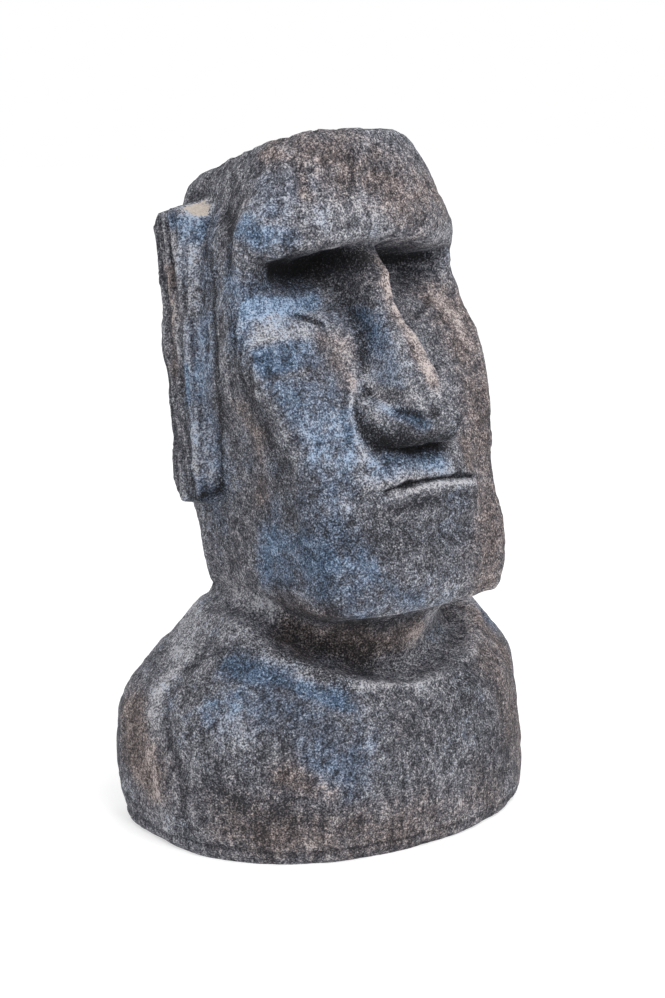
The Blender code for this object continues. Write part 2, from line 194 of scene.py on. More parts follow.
FACE_FOLDS = (
    (((-6.8, 46.6), (-2.0, 47.4), (4.0, 47.6), (8.8, 46.8)), 0.75, -1.7),   # under the lower lip
    (((-6.4, 49.3), (1.0, 49.7), (9.2, 49.1)), 0.35, 1.1),                  # rim of the lower lip
    (((-6.8, 64.4), (-8.6, 61.0), (-8.8, 56.4), (-7.4, 53.0)), 0.65, 1.8),  # beside the nose
    (((-8.0, 63.6), (-9.6, 60.6), (-9.8, 57.0)), 0.6, -1.2),
)
EYE_SLITS = ((((12.6, 73.4), (10.6, 72.7), (8.3, 71.4)), 0.38, -2.2),)       # on both sides alike
LIP_HEIGHT, LIP_WAVER, LIP_HALF, LIP_GROOVE = 1.9, 0.5, 0.3, 1.2    # line of the mould's lip
COLLAR_LEVEL, COLLAR_HALF, COLLAR_RIDGE = 25.0, 0.8, 1.8
COLLAR_STEP, COLLAR_STEP_HALF, COLLAR_GROOVE = 1.8, 0.9, 2.0        # groove above the ridge

# Marks drawn on a side fade in between these cosines of the angle that the skin is turned from it
FACING = {"front": (0.12, 0.35), "back": (0.30, 0.55), "near": (0.45, 0.70), "far": (0.45, 0.70)}

# Chips and dents, by the side they are drawn on: across (x on the front or back, forward on a
# side), height and radius in shares, and depth in millimetres
CHIPS = {
    "front": (
        (-10, 98.5, 1.2, 1.8), (8, 97.5, 1.2, 1.2), (-15, 36, 1.3, 1.4), (15, 37, 1.6, 1.6),
        (-6, 82, 1.2, 1.4), (-12.5, 82, 1.4, 1.6), (6.5, 83.5, 1.1, 1.0), (-3.5, 62, 0.9, 1.4),
        (-0.5, 62.5, 0.9, 1.2), (-17, 1, 1.6, 1.6), (-20, 3.5, 1.1, 1.2), (12, 1, 1.4, 1.4),
    ),
    "near": (
        (-5.5, 89.5, 1.7, 2.4), (-8.5, 90, 1.2, 1.6), (-6.5, 93.5, 1.4, 1.6), (-2, 83, 1.3, 2.0),
        (8.5, 78.5, 1.2, 1.4), (2.5, 70.5, 1.0, 1.3), (12, 35.5, 1.2, 1.2), (12, 1, 1.8, 1.6),
    ),
    "far": ((-6.5, 84, 1.5, 1.8), (1, 66, 1.3, 1.4)),
    "back": ((12, 70, 1.6, 1.4), (-9, 52, 1.5, 1.4)),
}

# Strokes of the finish, drawn on the sides like the chips: radius, strength, then the path of
# (across, height).  Dark is painted shade with pigment left thick, under the brow and nose, in the
# neck and along shaded planes; blue and brown are thin washes; and pale is rubbed paint with painted
# highlights.
SHADE_AND_PIGMENT_STROKES = {
    "front": (
        (1.9, 1.0, (-13.5, 81), (-7, 80.5), (-3, 81.5), (-1.5, 82)),
        (1.9, 0.55, (-16, 80), (-14, 79.5), (-9.5, 79), (-4, 79)),
        (1.3, 0.8, (4.5, 81), (9, 81), (14.5, 81)),
        (1.3, 0.42, (8, 76.5), (10.5, 77), (13, 78.5)),
        (0.65, 0.6, (-3, 78), (-3, 74), (-3.5, 70.5), (-4.5, 67.5)),
        (1.3, 1.0, (-7.5, 60), (-5.5, 58), (-0.5, 57), (4, 57)),
        (0.7, 0.8, (-8, 62.5), (-8, 60)),
        (0.7, 0.7, (-5.5, 64.5), (-5, 64.5)),
        (0.8, 0.6, (3.5, 61), (5, 59)),
        (1.1, 0.75, (-5.5, 59), (-2.5, 58.5), (3, 58.5)),
        (0.55, 1.0, (-4, 62.5), (-3.5, 62.5)),
        (0.55, 1.0, (-1, 62.5), (-0.5, 62.5)),
        (0.35, 0.9, (-11.5, 75), (-10.5, 74.5), (-8.5, 73.5)),
        (1.2, 0.4, (-8.5, 76.5), (-5, 75.5), (-4.5, 75)),
        (0.9, 0.28, (-16, 76), (-13.5, 76), (-8.5, 75.5)),
        (0.8, 0.5, (-5.5, 49.5), (0.5, 49.5), (9, 49)),
        (2.2, 0.38, (-15, 47.5), (-13, 45.5), (-9.5, 44.5), (-5.5, 45.5)),
        (1.2, 0.35, (-10, 54), (-11, 49), (-9, 45.5), (-1, 44.5), (7, 45)),
        (1.2, 0.6, (-15.5, 34), (-13.5, 33.5), (-6, 32)),
        (1.2, 0.45, (-6, 32), (3, 32)),
        (2.6, 0.55, (-16, 31.5), (-13.5, 30), (-9, 27.5), (-4.5, 26.5)),
        (2.0, 0.35, (-4.5, 27), (0.5, 27)),
        (1.5, 0.55, (-19.5, 30), (-17.5, 28), (-14.5, 27), (-12.5, 25), (-11, 24)),
        (0.8, 0.4, (-10, 95), (-10.5, 93), (-10.5, 91)),
        (0.7, 0.55, (-2, 97), (-3.5, 92.5), (-5, 91)),
        (0.6, 0.3, (-6.5, 96.5), (-7, 94.5)),
        (0.7, 0.35, (2, 97.5), (1, 93)),
        (2.4, 0.5, (9.5, 22.5), (9, 19)),
        (7.0, 0.26, (6, 20), (14, 14), (16, 8)),
        (4.0, 0.25, (-26, 12), (-20, 8)),
        (2.4, 0.35, (-27, 10.5), (-24.5, 8.5), (-20.5, 7)),
    ),
    "near": (
        (0.6, 0.8, (0, 83), (1.5, 76.5), (3, 70.5), (3, 63.5)),
        (0.65, 0.8, (3, 63.5), (1.5, 56.5), (0.5, 49.5), (-2.5, 47.5)),
        (0.9, 0.6, (0, 88.5), (4.5, 85.5), (4.5, 82)),
        (0.7, 0.3, (1.5, 21.5), (4.5, 16.5), (7.5, 11.5), (7.5, 4)),
        (1.2, 0.2, (4, 25), (6, 22)),
        (1.5, 0.35, (8.5, 19.5), (10.5, 15.5)),
        (1.2, 0.42, (6.5, 76), (8.5, 70), (10.5, 64)),
        (1.5, 0.48, (11, 64), (13.5, 59), (13.5, 52)),
    ),
    "far": ((0.7, 0.7, (-1, 82), (-1, 66), (0, 50)),),
}
BLUE_STROKES = {
    "front": (
        (6.0, 0.5, (-13, 58), (-14, 48), (-13, 38)),
        (5.0, 0.35, (-15, 88), (-12, 92)),
        (5.0, 0.6, (-24, 23), (-18, 21), (-14, 14)),
        (3.0, 0.55, (-8, 66.5), (-11, 64.5), (-13, 60)),
        (2.0, 0.8, (-7, 55), (-3.5, 55.5), (2.5, 55)),
        (2.6, 0.7, (-16, 45), (-16.5, 39)),
        (5.0, 0.3, (0, 40), (6, 46)),
        (2.6, 0.4, (-10, 73), (-4, 74), (-3, 68)),
        (1.4, 1.0, (-16, 76.5), (-13.5, 76), (-9, 76)),
        (0.8, 0.65, (-2.5, 75), (-2.5, 72), (-3, 69), (-3.5, 66)),
        (1.1, 0.9, (-5.5, 56), (0.5, 55.5)),
        (1.2, 0.8, (-5, 62.5), (-2.5, 61)),
        (2.0, 0.6, (-13.5, 61.5), (-9.5, 62), (-10.5, 56.5)),
        (2.0, 0.5, (-12, 44.5), (-7.5, 38), (-3.5, 36.5)),
        (2.0, 0.8, (-16, 86), (-14, 85.5)),
        (1.7, 0.85, (-19, 25.5), (-16, 24), (-12.5, 22.5)),
        (1.9, 0.4, (-19.5, 19.5), (-19.5, 16.5), (-17.5, 14)),
    ),
    "near": (
        (1.3, 1.0, (8.5, 77), (8.5, 75.5)),
        (1.3, 1.0, (12, 70.5), (13.5, 68.5)),
        (1.2, 0.65, (14.5, 66.5), (16, 64), (18, 60.5), (19, 57.5)),
        (1.8, 0.55, (19, 57.5), (17.5, 50.5), (19, 44), (19, 37)),
        (3.4, 0.42, (-2, 86), (-1, 70), (0, 44)),
        (3.0, 0.5, (6, 79), (8, 78), (9, 72)),
        (2.0, 0.8, (6.5, 87), (9.5, 85.5)),
        (1.5, 0.85, (-6.5, 87), (-5, 87), (-4, 85)),
        (1.0, 0.9, (-3.5, 66.5), (-3.5, 62)),
        (1.4, 0.6, (-2, 51.5), (-1, 50)),
        (1.2, 0.5, (7, 75), (7.5, 71.5)),
        (1.8, 0.85, (8.5, 27), (14.5, 25.5)),
        (1.4, 0.55, (10, 22.5), (10.5, 20)),
    ),
    "far": (
        (3.0, 0.55, (-10, 74), (-11, 62), (-12, 50)),
        (1.4, 0.7, (-6, 80), (-4, 66)),
        (2.4, 0.5, (14, 26), (6, 25), (-6, 24)),
    ),
}
BROWN_STROKES = {
    "front": (
        (5.0, 0.65, (13, 90), (4, 91), (-1, 95), (-10, 96)),
        (4.5, 0.68, (16, 74), (14, 57), (12, 46), (11, 37)),
        (6.0, 0.62, (18, 24), (20, 16), (24, 6)),
        (5.5, 0.55, (-26, 5), (-8, 4), (12, 4)),
        (1.7, 0.8, (-12.5, 96.5), (-10.5, 95.5), (-10.5, 91.5)),
        (2.6, 0.6, (-0.5, 97.5), (5.5, 94), (0.5, 91.5)),
        (1.5, 0.8, (0.5, 81.5), (1, 74), (1, 66.5)),
        (3.4, 0.7, (14, 75), (18, 73), (17, 62)),
        (1.8, 0.9, (10, 56), (8.5, 54)),
        (2.0, 0.5, (-5.5, 70.5), (-9, 71.5), (-7.5, 66)),
        (2.6, 0.9, (-16.5, 33), (-13.5, 30.5), (-4.5, 28.5), (3, 29)),
        (2.4, 0.8, (18.5, 27.5), (22, 21.5)),
        (2.2, 0.7, (-21, 13), (-16, 10.5)),
        (2.0, 0.6, (13.5, 40), (15.5, 46)),
    ),
    "near": (
        (2.0, 0.55, (8, 62.5), (10.5, 59.5), (9, 50)),
        (4.0, 1.1, (-5.5, 17.5), (-4.5, 14.5), (1, 9)),
        (1.2, 0.6, (-7.5, 80), (-6.5, 66)),
    ),
    "back": ((5.0, 0.5, (0, 74), (-2, 60), (0, 46)),),
}
# Pale strokes are rubbed paint together with painted highlights where light catches the cheeks, nose,
# brow, neck and arms
PAINT_AND_HIGHLIGHT_STROKES = {
    "front": (
        (1.7, 0.6, (-16, 60.5), (-12.5, 61), (-9.5, 61.5)),
        (1.5, 0.6, (-13.5, 56.5), (-16, 57)),
        (1.6, 0.7, (-12.5, 50.5), (-11, 49.5)),
        (1.4, 0.55, (-2, 71), (-3, 67), (-2.5, 64.5)),
        (0.9, 1.0, (-5.5, 63), (-4.5, 63)),
        (0.9, 0.8, (-6, 65), (-6.5, 62.5), (-7.5, 59.5)),
        (1.0, 1.0, (-4, 67.5), (-4.5, 65)),
        (1.6, 0.7, (-6.5, 71.5), (-6.5, 67.5), (-7.5, 66)),
        (0.6, 0.7, (-7, 65.5), (-9, 62.5), (-9, 57)),
        (1.2, 1.0, (1, 79), (1.5, 71), (1, 65.5)),
        (1.3, 0.8, (-10.5, 56.5), (-7, 55.5)),
        (1.5, 0.8, (-9.5, 53.5), (-8, 53.5), (-0.5, 54), (3.5, 54)),
        (1.4, 0.8, (14.5, 75), (16, 73), (15.5, 70.5)),
        (1.7, 0.45, (-12, 84.5), (-2, 85), (8, 84.5), (16, 84.5)),
        (2.2, 0.5, (-11.5, 88.5), (-4.5, 89.5), (4, 89)),
        (2.2, 0.45, (-16, 88.5), (-15, 86.5)),
        (1.4, 0.5, (-0.5, 37.5), (5.5, 38), (11, 38)),
        (1.0, 0.5, (12, 35.5), (5, 35), (-8, 35)),
        (2.6, 1.1, (3.5, 28.5), (6, 30.5), (9.5, 31.5)),
        (1.6, 0.6, (-3.5, 25), (1.5, 24), (6, 25.5), (13, 27)),
        (1.4, 0.4, (12.5, 27.5), (16.5, 28.5)),
        (0.7, 0.6, (-17, 25.5), (-12, 24), (-4, 23.5)),
        (1.8, 0.6, (-1, 23), (3.5, 22.5)),
        (2.2, 0.5, (-25.5, 21.5), (-26, 18)),
        (0.7, 0.8, (-20, 3.5), (-18.5, 3.5)),
    ),
    "near": (
        (1.3, 1.0, (8.5, 76.5), (9.5, 73.5), (11, 72.5)),
        (0.75, 1.8, (-6, 89.5), (-5, 89), (-4.5, 88)),
        (0.8, 0.7, (-5, 88), (-4.5, 84.5), (-3.5, 80.5)),
        (1.0, 0.45, (-4, 85.5), (-3, 76.5), (-1.5, 70), (-1, 60)),
        (1.4, 0.75, (-1, 58), (-0.5, 52)),
        (1.0, 0.6, (-6.5, 86), (-6, 72), (-6, 67.5)),
        (0.7, 0.5, (9.5, 75.5), (11.5, 72)),
        (1.2, 0.8, (-1.5, 35.5), (3, 34.5), (8.5, 33.5)),
        (2.0, 0.7, (-6, 30.5), (0, 28.5), (-3, 26.5)),
        (2.6, 0.5, (-1, 22.5), (1, 17), (0, 10), (0.5, 5)),
        (0.8, 0.5, (0.5, 14.5), (2, 8), (3, 3)),
        (1.2, 0.5, (6.5, 12), (6.5, 6)),
        (0.7, 0.6, (12, 28), (17.5, 25.5)),
    ),
}
MOUTH_SHADE, LIP_HIGHLIGHT = 0.7, 1.0           # painted shade in the mouth's line, and a painted highlight on the lip's edge
LIP_EDGE, LIP_STROKE = 0.8, 0.4         # how far below the line that edge is, and the strokes' half width

# Relief: the heights and the levels where it fades out at the foot and on the crown, the cells of
# its noise, in shares, and the levels that its streaks are on
FOOT_FADE, CROWN_FADE = (-1.5, 0.5), (101.5, CROWN_LEVEL)
WARP_CELL, WARP_SHARES = 3.0, 0.8
SWELL_CELL, LUMP_CELLS, GRAIN_CELL, PIT_CELL = 8.0, (3.1, 1.5), 0.8, 1.05
PIT_RANGE = (0.42, 0.8)                 # noise above this is an air pit
STREAK_CELL = (0.75, 0.75, 6.0)
STREAKS_BROW, STREAKS_BUST = (84.0, 90.0), (10.0, 24.0)
STREAKS_LOW, STREAKS_ELSEWHERE = 0.6, 0.35
EAR_CELLS = (3.0, 0.55, 6.5), (2.0, 0.5, 2.0)
LIP_CELL = 9.0
RAISED_BLUR, RAISED_MM = 10, 0.7        # relief this far above its own blur is fully raised
HOLLOW_BLUR, HOLLOW_UNIT, HOLLOW_RANGE = 60, 0.9, (0.2, 1.8)    # the same for hollows of the form

# Stage: key light, in metres from the camera's target, and the paper's grey and its own light
KEY_BACK, KEY_RIGHT, KEY_UP, KEY_WIDTH = 1.1, 0.7, 1.25, 1.2
PAPER_GREY, PAPER_GLOW = 0.60, 0.48


def smooth_through(level, guides, column):
    """Monotone cubic through one column of a guide table: no overshoot between rings."""
    at = np.array([row[0] for row in guides])
    value = np.array([row[column] for row in guides])
    gap = np.diff(at)
    slope = np.diff(value) / gap
    tangent = np.zeros_like(value)
    tangent[0], tangent[-1] = slope[0], slope[-1]
    below, above = slope[:-1], slope[1:]
    same_way = below * above > 0
    weight_a, weight_b = 2 * gap[1:] + gap[:-1], gap[1:] + 2 * gap[:-1]
    below = np.where(same_way, below, 1.0)
    above = np.where(same_way, above, 1.0)
    mean = (weight_a + weight_b) / (weight_a / below + weight_b / above)
    tangent[1:-1] = np.where(same_way, mean, 0.0)
    level = np.clip(level, at[0], at[-1])
    i = np.clip(np.searchsorted(at, level, side="right") - 1, 0, len(gap) - 1)
    t = (level - at[i]) / gap[i]
    start = (1 + 2 * t) * (1 - t) ** 2 * value[i] + t * (1 - t) ** 2 * gap[i] * tangent[i]
    end = t * t * (3 - 2 * t) * value[i + 1] + t * t * (t - 1) * gap[i] * tangent[i + 1]
    return start + end


def ramp(value, low, high):
    """Smooth step from 0 at low to 1 at high."""
    t = np.clip((value - low) / (high - low), 0.0, 1.0)
    return t * t * (3 - 2 * t)


def hump(value, middle, half):
    """Rounded bump of height 1."""
    return np.exp(-((value - middle) / half) ** 2)


def ring_sizes(level):
    """Sizes of the ring at each level, from the two guide tables."""
    names = ("height", "front", "half", "back", "centre", "tilt", "dip")
    sizes = {name: smooth_through(level, GUIDES, k + 1) for k, name in enumerate(names)}
    sizes["edge"] = smooth_through(level, HEAD_CORNERS, 1)
    sizes["back_half"] = smooth_through(level, HEAD_CORNERS, 2)
    sizes["squareness"] = ramp(level, *NECK_LEVELS)
    return sizes


def wall(sine, cosine, start, end, centre):
    """Closeness of one straight wall of the plan, through two corners, seen from the centre."""
    across, along = start[1] - end[1], end[0] - start[0]
    length = np.hypot(across, along)
    distance = (across * start[0] + along * (start[1] - centre)) / length
    return np.maximum(0.0, (across * sine + along * cosine) / length) / distance


def reach(turn, ring):
    """Distance from the ring's centre to the skin, at an angle turned from the front.

    The head is a rounded polygon, front, cheek, side and back walls joined by a power sum.
    The bust is an oval, rounder in front than behind.
    """
    sine, cosine = np.abs(np.sin(turn)), np.cos(turn)
    centre, half = ring["centre"], ring["half"]
    flat = (FLAT_OF_FACE * half, ring["front"])
    face_edge = (half, ring["edge"])
    back_edge = (ring["back_half"], ring["back"])
    walls = (
        np.maximum(0.0, cosine) / (ring["front"] - centre),
        wall(sine, cosine, flat, face_edge, centre),
        wall(sine, cosine, face_edge, back_edge, centre),
        np.maximum(0.0, -cosine) / (centre - ring["back"]),
    )
    square = sum(side ** CORNER_POWER for side in walls) ** (-1 / CORNER_POWER)
    ahead = cosine > 0
    power = np.where(ahead, CHEST_POWER, SPINE_POWER)
    depth = np.where(ahead, ring["front"] - centre, centre - ring["back"])
    oval = ((sine / half) ** power + (np.abs(cosine) / depth) ** power) ** (-1 / power)
    return oval + (square - oval) * ring["squareness"]


def squared(value, middle, half):
    """Square of the distance from the middle, 1 at the edge."""
    return ((value - middle) / half) ** 2


def mouth_line(x):
    """Level of the line between the lips, a parabola that droops at its ends, and 1 along it."""
    across = np.abs(x - MOUTH_X)
    line = MOUTH_LEVEL - MOUTH_DROOP * (across / MOUTH_HALF) ** 2
    return line, 1 - ramp(across, MOUTH_HALF - 0.8, MOUTH_HALF + 1.0)


def face_carving(x, level, turn):
    """How far the carving of the face stands out from the head's plain front, in shares.

    The nose is a power sum of a ridge, taller and wider towards its tip, and two rolled wings
    with an oval outline.  The muzzle, lips, chin and lids are ramps and bells on it, and the
    hollows are cut in below the brow, deepest right under it.
    """
    across = np.abs(x)
    down = np.clip((BROW_UNDER - level) / (BROW_UNDER - WING_LEVEL), 0.0, 1.0)
    top = NOSE_TOP + NOSE_TOP_GAIN * down ** 2
    base = NOSE_BASE + NOSE_BASE_GAIN * down ** 1.4
    tuck = np.clip((NOSE_END - level) / (NOSE_END - NOSE_FOOT), 0.0, 1.0)
    tip = np.sqrt(1.0 - tuck ** 2.4)
    root = 1 - ramp(level, *NOSE_ROOT)
    rise = (NOSE_RISE + NOSE_RISE_GAIN * down ** 1.3) * tip * root
    ridge = rise * (1 - ramp(across, top, base))
    roll = 1.0 - squared(across, WING_X, WING_HALF) - squared(level, WING_LEVEL, WING_TALL)
    wings = WING_RISE * np.maximum(0.0, roll) ** 0.75
    nose = (ridge ** NOSE_MERGE + wings ** NOSE_MERGE) ** (1 / NOSE_MERGE)

    across = np.abs(x - MOUTH_X)
    spread = MUZZLE_HALF - MUZZLE_CURVE * (level - MUZZLE_LEVEL) ** 2
    inside, outside = MUZZLE_EDGE
    muzzle = MUZZLE_RISE * (1 - ramp(across, spread - inside, spread + outside))
    muzzle = muzzle * ramp(level, *MUZZLE_BELOW) * (1 - ramp(level, *MUZZLE_ABOVE))
    line, on_mouth = mouth_line(x)
    upper = hump(level, line + UPPER_LIP[0], UPPER_LIP[1])
    lower = hump(level, line - LOWER_LIP[0], LOWER_LIP[1])
    lips = LIP_RISE * on_mouth * (0.5 * upper + lower)
    slot = -MOUTH_DEPTH * on_mouth * hump(level, line, MOUTH_TALL)
    chin = CHIN_RISE * hump(level, CHIN_LEVEL, CHIN_TALL) * (1 - ramp(across, *CHIN_HALF))

    across = np.abs(x)
    window = ramp(across, *HOLLOW_INNER) * (1 - ramp(across, *HOLLOW_OUTER))
    hollow = HOLLOW_DEPTH * ramp(level, HOLLOW_FOOT, BROW_UNDER - 0.6)
    hollow = -window * (hollow + SHELF_DEPTH * ramp(level, SHELF_LEVEL - 0.8, SHELF_LEVEL + 0.8))
    hollow = hollow * (1 - ramp(level, BROW_UNDER - 0.2, BROW_EDGE - 0.6))
    lids = LID_RISE * hump(level, LID_LEVEL, LID_TALL) * hump(across, LID_X, LID_HALF)
    facing = ramp(np.cos(turn), 0.05, 0.45)
    return facing * (nose + muzzle + lips + slot + chin + hollow + lids)


def ear_middle(level):
    """How far forward the middle of the ear is: it leans with the head."""
    return EAR_TOP_PLACE + EAR_LEAN * (EAR_TOP - level) / (EAR_TOP - EAR_FOOT)


def ear_carving(x, forward, level):
    """How far the ears stand out sideways: a slab with sloping sides and rounded corners."""
    middle, half_tall = 0.5 * (EAR_FOOT + EAR_TOP), 0.5 * (EAR_TOP - EAR_FOOT)
    past_side = np.abs(forward - ear_middle(level)) - (EAR_HALF - EAR_CORNER)
    past_end = np.abs(level - middle) - (half_tall - EAR_CORNER)
    outside = np.hypot(np.maximum(past_side, 0.0), np.maximum(past_end, 0.0))
    outside = outside + np.minimum(np.maximum(past_side, past_end), 0.0) - EAR_CORNER
    mask = 1 - ramp(outside, -EAR_BEVEL / 2, EAR_BEVEL / 2)
    return mask * np.maximum(0.0, EAR_FACE - np.abs(x))


def brow_sag(x, level, turn):
    """How much lower, in levels, the brow hangs over each eye than at the nose and temples."""
    near_brow = hump(level, 0.5 * (BROW_UNDER + BROW_EDGE), 3.0) * ramp(np.cos(turn), 0.2, 0.5)
    return BROW_SAG * near_brow * hump(np.abs(x), BROW_SAG_X, BROW_SAG_HALF)


def skin(turn, level):
    """Points of the skin in shares, for arrays of turn (0 is the nose) and level.

    Each point is its ring's reach from the ring's centre, leaning by the ring's tilt, with its
    front dipped.  The face's carving pushes it forward, the ears push it sideways, and above
    the top level the rings close in to the middle of the crown.
    """
    ring = ring_sizes(level)
    crown = np.clip((level - TOP_LEVEL) / (CROWN_LEVEL - TOP_LEVEL), 0.0, 1.0)
    sag = brow_sag(reach(turn, ring) * np.sin(turn), level, turn)
    neck = NECK_DEPTH * hump(level, NECK_LEVEL, NECK_TALL) * ramp(np.cos(turn), -0.3, 0.4)
    out = (reach(turn, ring_sizes(level + sag)) - neck) * (1 - crown)
    x, ahead = out * np.sin(turn), out * np.cos(turn)
    push = face_carving(x, level + sag, turn) * (1 - crown)
    side = ear_carving(x, ring["centre"] + ahead, level)
    tilt = np.radians(ring["tilt"])
    forward = ring["centre"] + ahead * np.cos(tilt) + push
    front = np.clip(np.cos(turn), 0.0, 1.0)
    height = ring["height"] + (ahead + 0.6 * push) * np.sin(tilt) - ring["dip"] * front
    height = height + CROWN_RISE * (1 - (1 - crown) ** 2)
    shift = smooth_through(level, SIDE_SHIFTS, 1)
    return np.stack([x + side * np.sign(x) + shift, -forward, height], axis=-1)


def lines_down(level):
    """Turns of the lines that columns follow: face edge, ear front and back, spine."""
    ring = ring_sizes(level)
    centre = ring["centre"]
    face = np.arctan2(ring["half"], ring["edge"] - centre)
    half_at_ear = 0.5 * (ring["half"] + ring["back_half"])
    outer, inner = EAR_HALF + EAR_BEVEL / 2, EAR_HALF - EAR_BEVEL / 2
    ahead = ear_middle(level) - centre
    ear = [np.arctan2(half_at_ear, ahead + step) for step in (outer, inner, -inner, -outer)]
    square = ramp(level, NECK_LEVELS[0] - 4.0, NECK_LEVELS[1] + 2.0)
    turns = [p + (line - p) * square for p, line in zip(np.radians(BUST_TURNS), [face] + ear)]
    return [0.0 * level] + turns + [np.pi + 0.0 * level]


def grid_turns(levels):
    """Turn of every column at every level, from the nose round both ways to the spine."""
    lines = lines_down(levels)
    half = [lines[0][:, None]]
    for k, count in enumerate(COLUMNS):
        t = np.arange(1, count + 1) / count
        if k == 0:
            t = t ** FRONT_CROWDING
        half.append(lines[k][:, None] + (lines[k + 1] - lines[k])[:, None] * t[None, :])
    half = np.concatenate(half, axis=1)
    return np.concatenate([half, -half[:, -2:0:-1]], axis=1)


def grid_levels():
    """Level of every row, from the ground to just below the crown's middle."""
    levels = [np.zeros(1)]
    start = 0.0
    for end, count in ROWS:
        levels.append(start + (end - start) * np.arange(1, count + 1) / count)
        start = end
    return np.concatenate(levels)


def lattice_value(corner, seed):
    """Repeatable number from -1 to 1 for whole-number lattice corners, by mixing their bits."""
    i, j, k = (corner[..., n].astype(np.int64) & 0xFFFFF for n in range(3))
    mixed = (i * 73856093) ^ (j * 19349663) ^ (k * 83492791) ^ (seed * 2654435761)
    mixed = ((mixed ^ (mixed >> 15)) * 2246822519) & 0xFFFFFFFF
    mixed = ((mixed ^ (mixed >> 13)) * 3266489917) & 0xFFFFFFFF
    return ((mixed ^ (mixed >> 16)) & 0xFFFF) / 32767.5 - 1.0


def noise(points, cell, seed):
    """Smooth noise from -1 to 1: lattice values blended over each cell by a quintic curve.

    Cell is the lattice spacing, one number or one for each axis, in the points' own unit.
    """
    place = points / np.asarray(cell, dtype=float) + 1000.0
    base = np.floor(place)
    t = place - base
    t = t * t * t * (t * (t * 6 - 15) + 10)
    total = 0.0
    for corner in range(8):
        step = np.array([corner & 1, (corner >> 1) & 1, (corner >> 2) & 1])
        weight = np.prod(np.where(step, t, 1 - t), axis=-1)
        total = total + weight * lattice_value(base + step, seed)
    return total


def blur(field, rounds):
    """Average of each grid point with its four neighbours, repeated; columns join up."""
    for _ in range(rounds):
        up = np.concatenate([field[1:], field[-1:]])
        down = np.concatenate([field[:1], field[:-1]])
        field = 0.25 * (up + down + np.roll(field, 1, axis=1) + np.roll(field, -1, axis=1))
    return field


def normals(points):
    """Unit outward normals of the grid: the cross product of its two directions."""
    along = np.roll(points, -1, axis=1) - np.roll(points, 1, axis=1)
    upward = np.gradient(points, axis=0)
    normal = np.cross(along, upward)
    return normal / (np.linalg.norm(normal, axis=-1, keepdims=True) + 1e-12)


def hollowness(points, normal):
    """How far outside the real surface its blurred copy lies: hollows are above 0."""
    return np.sum((blur(points, HOLLOW_BLUR) - points) * normal, axis=-1) / HOLLOW_UNIT


def drawn_on(points, turns):
    """For each side that marks are drawn on: the coordinate across it, 1 where the skin faces it.

    The near side is the one at negative x, and the far side is opposite.
    """
    x, forward = points[..., 0], -points[..., 1]
    toward = {
        "front": (x, np.cos(turns)),
        "back": (x, -np.cos(turns)),
        "near": (forward, -np.sin(turns)),
        "far": (forward, np.sin(turns)),
    }
    return {side: (across, ramp(cosine, *FACING[side])) for side, (across, cosine) in toward.items()}


def strokes(sides, heights, marks):
    """Strongest of several strokes: each is its strength along a path, falling off as a bell."""
    total = np.zeros(heights.shape)
    for side, drawn in marks.items():
        across, facing = sides[side]
        for radius, strength, *path in drawn:
            bell = line_mark(across, heights, path, radius)
            total = np.maximum(total, strength * facing * bell)
    return total


def line_mark(across, up, path, half):
    """1 on a path drawn in two coordinates, falling off as a bell with the half width."""
    nearest = np.full(across.shape, 1e9)
    for (a, b), (c, d) in zip(path[:-1], path[1:]):
        run, rise = c - a, d - b
        t = np.clip(((across - a) * run + (up - b) * rise) / (run * run + rise * rise), 0.0, 1.0)
        nearest = np.minimum(nearest, np.hypot(across - a - t * run, up - b - t * rise))
    return np.exp(-(nearest / half) ** 2)


def line_marks(across, up, lines):
    """Sum of several lines, each a path, a half width and a depth."""
    return sum(depth * line_mark(across, up, path, half) for path, half, depth in lines)


def on_ears(points, levels):
    """1 on the faces of the ears, 0 elsewhere."""
    out = ramp(np.abs(points[..., 0]), EAR_FACE - 1.2, EAR_FACE - 0.4)
    return out * ramp(levels, EAR_FOOT - 1.0, EAR_FOOT) * (1 - ramp(levels, EAR_TOP, EAR_TOP + 1.0))


def carved_marks(points, levels, turns):
    """Named grooves, ridges and chips, in millimetres along the normal, out is above 0."""
    forward, height = -points[..., 1], points[..., 2]
    x, ahead = points[..., 0], np.cos(turns)
    mm = line_marks(forward - ear_middle(levels), levels, EAR_LINES) * on_ears(points, levels)
    mm = mm + line_marks(np.degrees(np.abs(turns)), levels, SIDE_LINES)
    mm = mm + line_marks(x, levels, FACE_FOLDS) * ramp(ahead, 0.1, 0.4)
    mm = mm + line_marks(np.abs(x), levels, EYE_SLITS) * (ahead > 0)
    lip = LIP_HEIGHT + LIP_WAVER * noise(points, LIP_CELL, 21)
    mm = mm - LIP_GROOVE * hump(height, lip, LIP_HALF)
    collar = COLLAR_RIDGE * hump(levels, COLLAR_LEVEL, COLLAR_HALF)
    collar = collar - COLLAR_GROOVE * hump(levels, COLLAR_LEVEL + COLLAR_STEP, COLLAR_STEP_HALF)
    mm = mm + collar * ramp(ahead, -0.4, 0.2)
    sides = drawn_on(points, turns)
    for side, chips in CHIPS.items():
        across, facing = sides[side]
        for place, level, radius, depth in chips:
            mm = mm - depth * facing * hump(np.hypot(across - place, height - level), 0.0, radius)
    return mm


